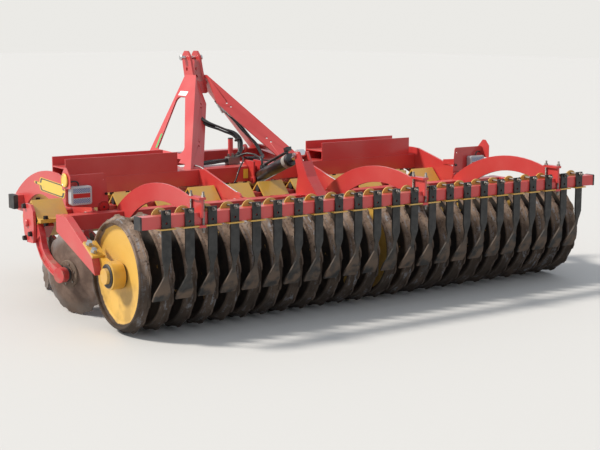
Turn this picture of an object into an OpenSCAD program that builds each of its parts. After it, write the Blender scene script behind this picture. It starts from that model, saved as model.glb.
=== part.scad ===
// Disc harrow for a tractor's three-point linkage, 3 m wide, with a lugged ring packer.
// Units are millimetres. X runs to the right, Y in the direction of travel, Z up.
// Y dimensions are measured ahead of the packer's axis, Z dimensions above the ground.

/* [Layout] */
// Spacing of two neighbouring cuts, one ring and one disc each
cut_pitch = 125; // [100:5:150]
// Odd number of cuts to the inner hinge plates, which stand inside the next clamp
inner_plate_cuts = 3; // [1:2:5]
// Outer face of the side plates inside the end of the working width
side_inset = 182; // [176:1:190]

/* [Discs] */
// Disc diameter
disc_dia = 450; // [400:10:520]
// Disc plate thickness
disc_plate = 6; // [4:0.5:8]
// Depth of the disc's dish
disc_dish = 45; // [30:1:60]
// Angle of the disc to the direction of travel
disc_yaw = 17; // [10:1:22]
// Shallow notches around the disc's edge
disc_notches = 18; // [10:1:24]
// Depth of each edge notch
notch_depth = 8; // [4:1:20]
// Rear row's disc centres ahead of the packer's axis
rear_disc_y = 530; // [500:5:600]
// Front row's disc centres ahead of the packer's axis
front_disc_y = 1235; // [1100:5:1300]
// Arm plane to the centre of the disc's rim, across the machine
arm_offset = 90; // [80:1:110]

/* [Disc suspension] */
// Height of both disc tubes' centres
disc_tube_z = 480; // [440:5:520]
// Rear disc tube ahead of the rear disc centres
tube_lead = 325; // [280:5:380]
// Side of the square disc tubes
disc_tube = 80; // [60:5:100]
// Wall of the square disc tubes
tube_wall = 8; // [5:1:10]
// Diameter of the rubber cords between tube and clamp
cord_dia = 40; // [30:1:50]
// Length of one clamp along the tube
clamp_len = 180; // [120:5:220]
// Thickness of the clamp shells
clamp_plate = 10; // [6:1:12]

/* [Main frame] */
// Width of the main box beam in the direction of travel
beam_w = 190; // [150:5:240]
// Height of the main box beam
beam_h = 94; // [80:2:140]
// Main beam's middle ahead of the packer's axis
beam_y = 1145; // [1100:5:1200]
// Underside of the main beam
beam_low_z = 561; // [540:1:600]
// Thickness of side plates, hinge plates and mounting plates
plate_t = 15; // [10:1:20]
// Front cross beam ahead of the packer's axis
cross_beam_y = 1650; // [1600:5:1700]
// Height of the front cross beam's centre
cross_beam_z = 660; // [600:5:720]

/* [Linkage] */
// Height of the top-link pin
top_pin_z = 1308; // [1250:1:1350]
// Top-link pin ahead of the packer's axis
top_pin_y = 1816; // [1750:1:1850]
// Diameter of the top-link pin
top_pin_dia = 25.4; // [25.4:0.1:32]
// Clear space between the two top-link ears
top_gap = 56; // [50:1:60]
// Diameter of the lower link pins
low_pin_dia = 28.6; // [28:0.1:37]
// Distance of the lower link shoulders from each other
low_span = 825; // [683:1:965]
// Height of the lower link pins
low_pin_z = 640; // [600:5:700]
// Radial clearance of every turning pin in its hole
pin_gap = 0.1; // [0.05:0.01:0.1]

/* [Packer] */
// Ring diameter over the lugs
ring_dia = 600; // [500:10:700]
// Diameter of the ring's rounded bead
bead_dia = 546; // [480:2:640]
// Lugs on one ring
ring_lugs = 15; // [12:1:18]
// Diameter of the packer's shaft tube
shaft_dia = 114; // [80:1:140]
// Packer frame's hinge ahead of the packer's axis
hinge_y = 610; // [600:5:680]
// Height of the packer frame's hinge
hinge_z = 505; // [500:5:520]
// Diameter of the packer hinge pins
hinge_pin = 30; // [24:1:40]
// Torque tube ahead of the packer's axis
torque_y = 470; // [450:5:500]
// Side of the square torque tube
torque_tube = 80; // [60:5:100]

/* [Scrapers] */
// Scraper beam's middle behind the packer's axis
scraper_y = 350; // [340:5:400]
// Height of the scraper beam's centre
scraper_z = 608; // [590:1:640]
// Side of the square scraper beam
scraper_beam_side = 60; // [50:5:80]
// Scraper plate thickness
scraper_t = 10; // [6:1:12]
// Width of the scraper's upper strip
scraper_w = 48; // [40:1:60]
// Width of the scraper's lower blade
blade_w = 84; // [60:1:96]

/* [Depth cylinder] */
// Diameter of the cylinder barrel
barrel_dia = 75; // [66:1:80]
// Diameter of the piston rod
rod_dia = 36; // [30:1:40]
// Lever pin ahead of the packer's axis
lever_pin_y = 530; // [520:5:535]
// Height of the lever pin
lever_pin_z = 770; // [765:5:790]
// Cylinder's front pin behind the frame beam's rear face
cyl_front_gap = 40; // [38:1:50]
// Height of the cylinder's front pin
cyl_front_z = 580; // [575:5:600]
// Cylinder plane to the right of the middle
cyl_x = 5; // [0:5:20]

/* [Hidden] */
$fn = 48;
// Each disc is a piece of its own, so their number is fixed, with one packer ring for each
row_discs = 12;
ring_count = 2 * row_discs;
half_width = row_discs * cut_pitch;
side_plate_x = half_width - side_inset;
disc_r = disc_dia / 2;
disc_sphere = (disc_r * disc_r + disc_dish * disc_dish) / (2 * disc_dish);
rear_x0 = -(row_discs - 0.5) * cut_pitch;
front_x0 = rear_x0 + cut_pitch;
rear_tube_y = rear_disc_y + tube_lead;
front_tube_y = front_disc_y + tube_lead;
cord_reach = disc_tube / 2 + cord_dia / 2 * (1 + sqrt(2));
clamp_half = cord_reach / sqrt(2);
inner_clamps = row_discs - 1;
clamp_side_gap = 8;
clamp_pitch = 2 * (side_plate_x - plate_t - clamp_side_gap - clamp_len / 2) / (inner_clamps - 1);
inner_plate_gap = 9.5;
inner_plate_clamp = (inner_plate_cuts + 1) / 2 * clamp_pitch;
inner_plate_x = inner_plate_clamp - clamp_len / 2 - inner_plate_gap - plate_t / 2;
beam_top = beam_low_z + beam_h;
inner_side = side_plate_x - plate_t;
ring_r = ring_dia / 2;
bead_r = bead_dia / 2;
ring_x0 = -(ring_count - 1) / 2 * cut_pitch;
tube_half = torque_tube / 2;
scraper_half = scraper_beam_side / 2;
scraper_back = scraper_y + scraper_half;
clip_over = 14;
ear_nose = 42;
layout_mid_y = (top_pin_y + ear_nose - scraper_back - scraper_t - clip_over) / 2;
red = [0.72, 0.2, 0.19];
yellow = [0.8, 0.6, 0.2];
dark = [0.12, 0.12, 0.12];
steel = [0.6, 0.6, 0.62];
rust = [0.35, 0.25, 0.18];

// Moves a piece drawn from the packer's axis to the row's origin.
module placed() {
  translate([0, -layout_mid_y, 0]) children();
}

// Mirrored copies on both sides of the machine.
module both_sides() {
  children();
  mirror([1, 0, 0]) children();
}

// A plate drawn in the side view (Y, Z), of thickness t, its left face at x.
module side_cut(x, t) {
  translate([x, 0, 0]) rotate([90, 0, 90]) linear_extrude(t) children();
}

// A round bar along X from x1 to x2 at (y, z).
module cross_bar(x1, x2, y, z, d) {
  translate([x1, y, z]) rotate([0, 90, 0]) cylinder(d = d, h = x2 - x1);
}

// A square tube along X.
module square_tube(x1, x2, y, z, side, wall) {
  side_cut(x1, x2 - x1) translate([y, z]) difference() {
    square(side, center = true);
    square(side - 2 * wall, center = true);
  }
}

// Points on the arc that runs from a through b to c.
function arc_centre(a, b, c) =
  let (d = 2 * (a[0] * (b[1] - c[1]) + b[0] * (c[1] - a[1]) + c[0] * (a[1] - b[1])),
    a2 = a * a, b2 = b * b, c2 = c * c)
  [(a2 * (b[1] - c[1]) + b2 * (c[1] - a[1]) + c2 * (a[1] - b[1])) / d,
   (a2 * (c[0] - b[0]) + b2 * (a[0] - c[0]) + c2 * (b[0] - a[0])) / d];
function arc_points(a, b, c, n) =
  let (m = arc_centre(a, b, c), r = norm(a - m), ta = atan2(a[1] - m[1], a[0] - m[0]),
    tb = atan2(b[1] - m[1], b[0] - m[0]), tc = atan2(c[1] - m[1], c[0] - m[0]),
    ccw = ((tb - ta + 720) % 360) < ((tc - ta + 720) % 360),
    span = ccw ? (tc - ta + 720) % 360 : -((ta - tc + 720) % 360))
  [for (k = [0 : n]) m + r * [cos(ta + span * k / n), sin(ta + span * k / n)]];

// An outline with its corners rounded to the radius r.
function corner(a, b, c, r, n) =
  let (u = (a - b) / norm(a - b), v = (c - b) / norm(c - b), half = acos(u * v) / 2,
    m = b + (u + v) / norm(u + v) * r / sin(half), p = b + u * r / tan(half) - m,
    q = b + v * r / tan(half) - m, from = atan2(p[1], p[0]),
    turn = (atan2(q[1], q[0]) - from + 540) % 360 - 180)
  [for (k = [0 : n]) m + r * [cos(from + turn * k / n), sin(from + turn * k / n)]];
function rounded(pts, r, n = 5) = let (m = len(pts)) [for (i = [0 : m - 1])
  for (p = corner(pts[(i + m - 1) % m], pts[i], pts[(i + 1) % m], r, n)) p];

// Main frame

beam_rear = beam_y - beam_w / 2;
beam_front = beam_y + beam_w / 2;
module beam_section() translate([beam_rear, beam_low_z]) square([beam_w, beam_h]);
module main_beam() color(red) placed() side_cut(-inner_side, 2 * inner_side) difference() {
  beam_section();
  translate([beam_rear + tube_wall, beam_low_z + tube_wall])
    square([beam_w - 2 * tube_wall, beam_h - 2 * tube_wall]);
}

tray_in = 530;
tray_out = inner_side - 53;
tray_h = 115;
tray_t = 8;
tray_shelf = 55;
module ballast_trays() color(red) placed() both_sides() side_cut(tray_in, tray_out - tray_in) {
  translate([beam_rear, beam_top]) square([tray_t, tray_h]);
  translate([beam_front - tray_t, beam_top]) square([tray_t, tray_h]);
  translate([beam_rear, beam_top + tray_shelf]) square([beam_w, tray_t]);
}

// Each side of the headstock is one plate with a window, leaning in towards the top link.
ear_t = 14;
ear_x = top_gap / 2 + ear_t;
leg_foot_x = 425;
leg_t = 12;
leg_top_drop = 110;
leg_foot_drop = 20;
leg_top_z = top_pin_z - leg_top_drop;
leg_lean = atan2(leg_foot_x - ear_x, leg_top_z - beam_top);
leg_rise = (leg_top_z - beam_top) / cos(leg_lean);
cross_tube = 80;
cross_top = cross_beam_z + cross_tube / 2;
leg_back = [beam_rear + 10, -leg_foot_drop];
leg_head = [top_pin_y - 120, leg_rise + leg_foot_drop];
leg_slope = atan2(leg_head[1] - leg_back[1], leg_head[0] - leg_back[0]);
leg_edge = norm(leg_head - leg_back);
leg_flange = 105;
leg_hole_dia = 12;
module leg_outline() difference() {
  polygon([leg_back, [beam_rear + 110, -leg_foot_drop], [beam_rear + 130, 30],
    [cross_beam_y - 60, 30], [cross_beam_y - 40, -leg_foot_drop],
    [cross_beam_y + 40, -leg_foot_drop], [cross_beam_y + 45, 60],
    [top_pin_y + 10, leg_rise + leg_foot_drop], leg_head]);
  polygon(rounded([[beam_rear + 200, 90], [cross_beam_y - 30, 100],
    [top_pin_y - 62, leg_rise - 170], [top_pin_y - 165, leg_rise - 170]], 28));
}
// The plate's rear edge is bent inwards into a flange with pairs of small holes.
module leg_bent_flange() translate([0, leg_back[0], leg_back[1]]) rotate([leg_slope, 0, 0])
  difference() {
    translate([-leg_flange, 0, -leg_t]) cube([leg_flange, leg_edge, leg_t]);
    for (k = [0.3, 0.34, 0.68, 0.72]) translate([-leg_flange / 2 - leg_t / 2, k * leg_edge, 0])
      cylinder(d = leg_hole_dia, h = 3 * leg_t, center = true);
  }
module headstock_frames() color(red) placed() both_sides() difference() {
  translate([leg_foot_x, 0, beam_top]) rotate([0, -leg_lean, 0]) {
    side_cut(-leg_t, leg_t) leg_outline();
    leg_bent_flange();
  }
  translate([0, 0, beam_top - 200]) cube([600, beam_front + 20, 200]);
  translate([0, beam_front + 20, cross_top - 200]) cube([600, 900, 200]);
  translate([-ear_x, 0, 0]) cube([2 * ear_x, 2500, 2000]);
}

// A folded gusset ties the legs together under the ears.
ear_foot_drop = 170;
ear_reach = 150;
ear_foot_z = top_pin_z - ear_foot_drop;
ear_foot_low = ear_foot_z - 60;
ear_holes = [[0, 0], [-18, -75], [-24, -125]];
module top_link_ears() color(red) placed() {
  both_sides() side_cut(top_gap / 2, ear_t) difference() {
    polygon(rounded([[top_pin_y - ear_reach, ear_foot_low], [top_pin_y - 10, ear_foot_low],
      [top_pin_y + ear_nose, top_pin_z - 30], [top_pin_y + ear_nose, top_pin_z + 20],
      [top_pin_y + 15, top_pin_z + 45], [top_pin_y - 25, top_pin_z + 45],
      [top_pin_y - 60, top_pin_z + 10], [top_pin_y - 92, top_pin_z - 90]], 12));
    for (p = ear_holes) translate([top_pin_y, top_pin_z] + p)
      circle(r = top_pin_dia / 2 + pin_gap);
  }
  side_cut(-top_gap / 2, top_gap) polygon([[top_pin_y - ear_reach, ear_foot_low],
    [top_pin_y - 112, ear_foot_low], [top_pin_y - 96, ear_foot_low + 72],
    [top_pin_y - 112, ear_foot_low + 78]]);
}

low_pin_y = cross_beam_y + 112;
low_pin_len = 80;
low_collar = 38;
link_clevis = 90;
top_pin_stick = 30;
module linkage_pins() color(steel) placed() {
  cross_bar(-ear_x - top_pin_stick, ear_x + top_pin_stick, top_pin_y, top_pin_z, top_pin_dia);
  both_sides() {
    cross_bar(low_span / 2 - link_clevis - plate_t, low_span / 2, low_pin_y, low_pin_z,
      low_collar);
    cross_bar(low_span / 2, low_span / 2 + low_pin_len, low_pin_y, low_pin_z, low_pin_dia);
  }
}

// Two box struts tie the cross beam back to the main beam, just outside the hinge plates.
strut_w = 60;
strut_gap = 12.5;
strut_edge = 5;
strut_foot = 15;
strut_x = inner_plate_x + plate_t / 2 + strut_gap;
cross_end = 15;
cross_half = max(strut_x + strut_w, low_span / 2) + cross_end;
module front_cross_beam() color(red) placed() {
  square_tube(-cross_half, cross_half, cross_beam_y, cross_beam_z, cross_tube, tube_wall);
  both_sides() side_cut(strut_x, strut_w) polygon([[beam_front, beam_low_z + strut_foot],
    [beam_front, beam_top - strut_edge], [cross_beam_y - cross_tube / 2, cross_top - strut_edge],
    [cross_beam_y - cross_tube / 2, cross_beam_z - cross_tube / 2 + strut_edge]]);
}

link_nose = 40;
module lower_link_plates() color(red) placed() both_sides()
  for (x = [low_span / 2 - plate_t, low_span / 2 - link_clevis]) side_cut(x, plate_t)
  difference() {
    polygon(concat([[cross_beam_y + cross_tube / 2, cross_top],
      [cross_beam_y + cross_tube / 2, cross_top - 100]],
      arc_points([low_pin_y + 5, low_pin_z - link_nose], [low_pin_y + link_nose, low_pin_z],
        [low_pin_y + 5, low_pin_z + link_nose], 10)));
    translate([low_pin_y, low_pin_z]) circle(r = low_collar / 2 + pin_gap);
  }

// Side plates arch from the front disc tube over the beam end to the packer's hinge.
module tube_holes() for (y = [rear_tube_y, front_tube_y])
  translate([y, disc_tube_z]) square(disc_tube, center = true);
module hinge_hole() translate([hinge_y, hinge_z]) circle(r = hinge_pin / 2 + pin_gap);
module side_plate_outline() polygon(concat(
  [[front_tube_y - 60, disc_tube_z - 62], [front_tube_y + 70, disc_tube_z - 62],
    [front_tube_y + 85, disc_tube_z - 20]],
  arc_points([front_tube_y + 85, disc_tube_z + 40], [beam_front + 40, beam_top + 28],
    [beam_rear - 30, beam_top + 42], 12),
  [[beam_rear - 160, beam_top + 10]],
  arc_points([hinge_y - 8, hinge_z + 84], [hinge_y - 54, hinge_z + 18],
    [hinge_y + 20, hinge_z - 46], 10),
  [[rear_tube_y - 70, disc_tube_z - 60], [rear_tube_y + 60, disc_tube_z - 70],
    [rear_tube_y + 95, disc_tube_z - 40]],
  arc_points([beam_y - 70, disc_tube_z + 30], [beam_y + 120, beam_low_z - 8],
    [front_tube_y - 110, disc_tube_z + 10], 10)));
module side_plates() color(red) placed() both_sides() side_cut(inner_side, plate_t)
  difference() {
    side_plate_outline();
    tube_holes();
    hinge_hole();
  }

module hinge_plates() color(red) placed() both_sides()
  side_cut(inner_plate_x - plate_t / 2, plate_t) difference() {
    polygon(concat(
      [[front_tube_y - 60, disc_tube_z - 55], [front_tube_y + 55, disc_tube_z - 55],
        [front_tube_y + 55, disc_tube_z + 60], [beam_front + 50, beam_low_z + 30],
        [beam_front, beam_low_z + 30], [beam_rear, beam_top], [beam_rear - 50, beam_top + 10]],
      arc_points([hinge_y + 20, hinge_z + 60], [hinge_y - 48, hinge_z], [hinge_y + 20, hinge_z - 44],
        10),
      [[rear_tube_y - 60, disc_tube_z - 55], [rear_tube_y + 60, disc_tube_z - 55],
        [beam_y - 80, disc_tube_z + 30], [front_tube_y - 150, disc_tube_z + 30]]));
    tube_holes();
    hinge_hole();
    beam_section();
  }

// Disc rows

stub_len = 37;
stub_end = side_plate_x + stub_len;
arm_w = 32;
arm_end_gap = 2.5;
outer_end = arm_offset - rear_x0 + arm_w / 2 + arm_end_gap;
module disc_tubes() color(red) placed() {
  square_tube(-stub_end, outer_end, front_tube_y, disc_tube_z, disc_tube, tube_wall);
  square_tube(-outer_end, stub_end, rear_tube_y, disc_tube_z, disc_tube, tube_wall);
}

cap_t = 28;
cap_lip = 2;
module tube_cap(x, y) side_cut(x, cap_t) translate([y, disc_tube_z])
  square(disc_tube + 2 * cap_lip, center = true);
module tube_caps() color(dark) placed() {
  tube_cap(-stub_end - cap_t, front_tube_y);
  tube_cap(stub_end, rear_tube_y);
}

clamp_out = clamp_half + clamp_plate;
outer_clamp_gap = 4;
outer_clamp_x = outer_end - outer_clamp_gap - clamp_len / 2;
clamp_x = [for (i = [0 : inner_clamps - 1]) (i - (inner_clamps - 1) / 2) * clamp_pitch];
rear_clamp_x = concat([-outer_clamp_x], clamp_x);
front_clamp_x = concat(clamp_x, [outer_clamp_x]);
clamp_lip = 34;
clamp_lip_in = 10;
clamp_bolt_dia = 16;
clamp_bolt_at = clamp_out * sqrt(2) + clamp_lip / 2 - clamp_lip_in + 4;
// Two folded shells meet at the front and rear corners, where lips take two bolts.
module clamp_shell(x, y) translate([x, y, disc_tube_z]) difference() {
  union() {
    side_cut(-clamp_len / 2, clamp_len) rotate(45) difference() {
      square(2 * clamp_out, center = true);
      square(2 * clamp_half, center = true);
    }
    for (s = [-1, 1]) side_cut(-clamp_len / 2, clamp_len)
      translate([s * (clamp_out * sqrt(2) + clamp_lip / 2 - clamp_lip_in), 0])
        square([clamp_lip, 2 * clamp_plate], center = true);
  }
  for (s = [-1, 1]) for (k = [-1, 1])
    translate([k * clamp_len * 0.3, s * clamp_bolt_at, 0])
      cylinder(r = clamp_bolt_dia / 2 + pin_gap, h = 4 * clamp_plate, center = true);
}
module disc_clamps() color(yellow) placed() {
  for (x = rear_clamp_x) clamp_shell(x, rear_tube_y);
  for (x = front_clamp_x) clamp_shell(x, front_tube_y);
}

cord_gap = 0.2;
cord_mid = disc_tube / 2 + cord_dia / 2;
module cords_at(x, y) for (a = [0 : 90 : 270]) translate([x, y, disc_tube_z])
  rotate([a, 0, 0]) cross_bar(-clamp_len / 2, clamp_len / 2, cord_mid, 0, cord_dia - cord_gap);
module rubber_cords() color(dark) placed() {
  for (x = rear_clamp_x) cords_at(x, rear_tube_y);
  for (x = front_clamp_x) cords_at(x, front_tube_y);
}

// Cast disc arm in the side view, from the clamp's lower rear face down and back to the hub.
arm_flange = 20;
arm_web = 14;
arm_back = tube_lead + arm_offset * tan(disc_yaw);
arm_drop = disc_tube_z - disc_r;
arm_line = [[-58, -64], [-84, -96], [-104, -136], [-130, -170], [-170, -200], [-220, -222],
  [-280, -238], [-arm_back, -arm_drop]];
arm_half = [52, 44, 37, 33, 31, 30, 30, 30];
arm_n = len(arm_line) - 1;
function arm_dir(i) = let (a = arm_line[max(i - 1, 0)], b = arm_line[min(i + 1, arm_n)])
  (b - a) / norm(b - a);
function arm_side(i, s, cut) = arm_line[i] + s * (arm_half[i] - cut)
  * [-arm_dir(i)[1], arm_dir(i)[0]];
module arm_strip(cut, from) polygon(concat([for (i = [from : arm_n]) arm_side(i, 1, cut)],
  [for (i = [arm_n : -1 : from]) arm_side(i, -1, cut)]));
arm_foot_w = 92;
module arm_foot() rotate(45) translate([-clamp_out - arm_flange, -58])
  square([arm_flange, 104]);
module arm_body(s) {
  side_cut(-arm_web / 2, arm_web) difference() {
    arm_strip(0, 0);
    rotate(45) square(2 * clamp_out, center = true);
  }
  side_cut(-arm_w / 2, arm_w) difference() {
    arm_strip(0, 0);
    arm_strip(9, 1);
    rotate(45) square(2 * clamp_out, center = true);
  }
  side_cut(s > 0 ? -arm_w / 2 : arm_w / 2 - arm_foot_w, arm_foot_w) arm_foot();
}
spindle_dia = 36;
spindle_past = 14;
seal_dia = 56;
boss_dia = 80;
boss_half = 20;
hub_back = 14;
hub_gap = 6;
hub_back_dia = 96;
hub_front_dia = 124;
hub_front = 10;
apex_at = arm_offset / cos(disc_yaw) - disc_dish;
module disc_arm(s, y) {
  translate([0, y, disc_tube_z]) arm_body(s);
  translate([0, y - arm_back, disc_r]) rotate([0, 0, s > 0 ? disc_yaw : 180 - disc_yaw])
    {
      cross_bar(-boss_half, boss_half, 0, 0, boss_dia);
      cross_bar(0, apex_at - hub_back - hub_gap, 0, 0, seal_dia);
      cross_bar(0, apex_at + spindle_past, 0, 0, spindle_dia);
    }
}
module disc_arms() color(red) placed() for (i = [0 : row_discs - 1]) {
  translate([rear_x0 + 2 * cut_pitch * i - arm_offset, 0, 0]) disc_arm(1, rear_tube_y);
  translate([front_x0 + 2 * cut_pitch * i + arm_offset, 0, 0]) disc_arm(-1, front_tube_y);
}

// The outermost arm of each row hangs on a plate at the end of its tube.
end_plate = [[-75, -30], [-60, -125], [25, -130], [60, -90], [75, -20],
  [70, 50], [40, 82], [-40, 82], [-70, 50]];
module end_plate_outline() polygon(end_plate);
module outer_brackets() color(red) placed() {
  side_cut(-outer_end - plate_t, plate_t) translate([rear_tube_y, disc_tube_z])
    end_plate_outline();
  side_cut(outer_end, plate_t) translate([front_tube_y, disc_tube_z]) end_plate_outline();
}

// One disc with its hub, along the local +X from the hub to the open side.
hub_bore = spindle_dia / 2 + pin_gap;
notch_r = 40;
module disc_body() rotate([0, 90, 0]) {
  difference() {
    rotate_extrude($fn = 96) intersection() {
      translate([0, disc_sphere]) difference() {
        circle(r = disc_sphere + disc_plate / 2, $fn = 360);
        circle(r = disc_sphere - disc_plate / 2, $fn = 360);
      }
      translate([hub_bore, -disc_plate]) square([disc_r - hub_bore, disc_dish + 2 * disc_plate]);
    }
    for (k = [0 : disc_notches - 1]) rotate(k * 360 / disc_notches)
      translate([disc_r + notch_r - notch_depth, 0, 0]) cylinder(r = notch_r, h = disc_dish * 2);
  }
  difference() {
    union() {
      translate([0, 0, -hub_back]) cylinder(d = hub_back_dia, h = hub_back);
      cylinder(d = hub_front_dia, h = hub_front);
    }
    translate([0, 0, -2 * hub_back]) cylinder(r = hub_bore, h = 4 * hub_back);
  }
}
module disc_at(x, y, s) placed() translate([x, y, disc_r])
  rotate([0, 0, s > 0 ? disc_yaw : 180 - disc_yaw]) translate([-disc_dish, 0, 0]) disc_body();
module disc_rear(i) color(rust) disc_at(rear_x0 + 2 * cut_pitch * (i - 1), rear_disc_y, 1);
module disc_front(i) color(rust) disc_at(front_x0 + 2 * cut_pitch * (i - 1), front_disc_y, -1);

module disc_rear_01() disc_rear(1);
module disc_rear_02() disc_rear(2);
module disc_rear_03() disc_rear(3);
module disc_rear_04() disc_rear(4);
module disc_rear_05() disc_rear(5);
module disc_rear_06() disc_rear(6);
module disc_rear_07() disc_rear(7);
module disc_rear_08() disc_rear(8);
module disc_rear_09() disc_rear(9);
module disc_rear_10() disc_rear(10);
module disc_rear_11() disc_rear(11);
module disc_rear_12() disc_rear(12);
module disc_front_01() disc_front(1);
module disc_front_02() disc_front(2);
module disc_front_03() disc_front(3);
module disc_front_04() disc_front(4);
module disc_front_05() disc_front(5);
module disc_front_06() disc_front(6);
module disc_front_07() disc_front(7);
module disc_front_08() disc_front(8);
module disc_front_09() disc_front(9);
module disc_front_10() disc_front(10);
module disc_front_11() disc_front(11);
module disc_front_12() disc_front(12);

// Lights

// Each light board is a bent plate on the side plate's inner face, with a tongue at its inner
// edge that reaches down past the packer's hinge and carries the round reflector.
board_y = 560;
board_low = 575;
board_x = side_plate_x - 108;
board_w = 257;
board_h = 165;
board_t = 5;
board_round = 14;
board_slant = 24;
tongue_w = 74;
tongue_h = 90;
stay_len = 190;
stay_low = 40;
board_holes = [[40, 132], [26, 54], [20, -38]];
board_hole_dia = 9;
module board_outline() difference() {
  polygon(concat(
    corner([0, -tongue_h], [board_slant, board_h], [board_w, board_h], board_round, 6),
    corner([board_slant, board_h], [board_w, board_h], [board_w, 0], board_round, 6),
    corner([board_w, board_h], [board_w, 0], [tongue_w, -tongue_h / 5], board_round, 6),
    [[tongue_w, -tongue_h / 5], [tongue_w, -tongue_h], [0, -tongue_h]]));
  for (p = board_holes) translate(p) circle(d = board_hole_dia);
}
module light_boards() color(red) placed() both_sides() {
  translate([board_x, board_y + board_t, board_low]) rotate([90, 0, 0]) linear_extrude(board_t)
    board_outline();
  side_cut(inner_side - board_t, board_t) polygon([[board_y + board_t, board_low + stay_low],
    [board_y + board_t, board_low + stay_low + 50], [board_y + stay_len, board_low + stay_low + 30],
    [board_y + stay_len, board_low + stay_low]]);
}
lamp_in = 122;
lamp_w = 122;
lamp_h = 100;
lamp_d = 42;
lamp_up = 8;
module lamps() color([0.85, 0.85, 0.85]) placed() both_sides()
  translate([board_x + lamp_in, board_y - lamp_d, board_low + lamp_up])
    cube([lamp_w, lamp_d, lamp_h]);
reflector_in = 40;
reflector_down = 17;
reflector_dia = 64;
reflector_t = 8;
module reflectors() color([0.8, 0.15, 0.1]) placed() both_sides()
  translate([board_x + reflector_in, board_y, board_low - reflector_down]) rotate([90, 0, 0])
    cylinder(d = reflector_dia, h = reflector_t);

// Packer frame

tube_end = half_width;
module torque_tube() color(red) placed()
  square_tube(-tube_end, tube_end, torque_y, hinge_z, torque_tube, tube_wall);
module torque_hole() translate([torque_y, hinge_z]) square(torque_tube, center = true);

lug_t = 12;
lug_gap = 1;
lug_r = 36;
hinge_pin_half = 45;
lever_pin_stick = 12;
module lug_outline() difference() {
  union() {
    translate([hinge_y, hinge_z]) circle(r = lug_r);
    translate([torque_y + tube_half, hinge_z - lug_r])
      square([hinge_y - torque_y - tube_half, 2 * lug_r]);
  }
  hinge_hole();
}
side_mid = (inner_side + side_plate_x) / 2;
hinge_mids = [side_mid, inner_plate_x];
module hinge_lugs() color(red) placed() both_sides() for (x = hinge_mids) {
  side_cut(x + plate_t / 2 + lug_gap, lug_t) lug_outline();
  side_cut(x - plate_t / 2 - lug_gap - lug_t, lug_t) lug_outline();
}
module packer_pins() color(steel) placed() {
  both_sides() for (x = hinge_mids)
    cross_bar(x - hinge_pin_half, x + hinge_pin_half, hinge_y, hinge_z, hinge_pin);
  cross_bar(cyl_x - lever_in - lever_t - lever_pin_stick,
    cyl_x + lever_in + lever_t + lever_pin_stick, lever_pin_y, lever_pin_z, lever_pin);
}

side_arm_w = 40;
side_toe = [62, ring_r - 4];
side_heel = [95, ring_r + 82];
side_bend = [torque_y - 70, hinge_z + tube_half];
side_nose = 15;
side_belly = 10;
module side_arms() color(red) placed() both_sides() side_cut(tube_end, side_arm_w)
  polygon([[torque_y + tube_half + side_nose, side_bend[1]], side_bend, side_heel, side_toe,
    [torque_y + tube_half + side_nose, hinge_z - tube_half - side_belly]]);

arch_x = [-9.5 * cut_pitch, 1.5 * cut_pitch, 9.5 * cut_pitch];
arch_t = 12;
beam_top_z = scraper_z + scraper_half;
arch_seat = beam_top_z + 62;
arch_crown = 35;
arch_toe = scraper_z - 18;
arch_under = scraper_z + 37;
arch_foot = 47;
arch_end = 60;
hook_t = 19;
hook_gap = 3;
hook_low = 6;
hook_y = scraper_back + hook_gap + hook_t;
module arch_outline() difference() {
  polygon(concat(
    [[torque_y + 50, hinge_z - arch_foot], [torque_y + 52, hinge_z + tube_half]],
    arc_points([torque_y + 36, hinge_z + 62], [70, arch_seat + arch_crown],
      [arch_end - scraper_y, arch_seat], 14),
    [[-hook_y, arch_seat], [-hook_y, scraper_z + hook_low],
      [-scraper_back - hook_gap, scraper_z + hook_low], [-scraper_back - hook_gap, beam_top_z],
      [hook_gap + scraper_half - scraper_y, beam_top_z],
      [hook_gap + scraper_half - scraper_y, arch_toe]],
    arc_points([arch_end - scraper_y, arch_toe], [50, arch_under], [torque_y - 70, hinge_z - 20],
      14),
    [[torque_y - 48, hinge_z - arch_foot]]));
  torque_hole();
}
module arch_arms() color(red) placed() for (x = arch_x) side_cut(x - arch_t / 2, arch_t)
  arch_outline();

// Two rods with nuts pull each arch arm's end down on the scraper beam.
clamp_bolt = 12;
clamp_bolt_x = arch_t / 2 + clamp_bolt / 2 + 0.5;
clamp_bolt_y = scraper_half + clamp_bolt / 2 + 1;
clamp_pad = 12;
clamp_pad_w = 38;
clamp_edge = 16;
clamp_tail = 26;
module hex_nut(d) cylinder(d = d * 1.75, h = d * 0.8, $fn = 6);
module arch_clamp() {
  for (z = [scraper_z - scraper_half - clamp_pad, arch_seat]) translate([0, 0, z]) difference() {
    translate([-clamp_pad_w / 2, -clamp_bolt_y - clamp_edge, 0])
      cube([clamp_pad_w, 2 * (clamp_bolt_y + clamp_edge), clamp_pad]);
    for (s = [-1, 1]) translate([-s * clamp_bolt_x, s * clamp_bolt_y, -1])
      cylinder(d = clamp_bolt + 2 * pin_gap, h = clamp_pad + 2);
  }
  for (s = [-1, 1]) translate([-s * clamp_bolt_x, s * clamp_bolt_y, 0]) {
    translate([0, 0, scraper_z - scraper_half - clamp_pad - clamp_tail])
      cylinder(d = clamp_bolt,
        h = arch_seat - scraper_z + scraper_half + 2 * (clamp_pad + clamp_tail));
    translate([0, 0, arch_seat + clamp_pad]) hex_nut(clamp_bolt);
    translate([0, 0, scraper_z - scraper_half - clamp_pad - 0.8 * clamp_bolt])
      hex_nut(clamp_bolt);
  }
}
module arch_clamps() color(red) placed() for (x = arch_x) translate([x, -scraper_y, 0])
  arch_clamp();

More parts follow.
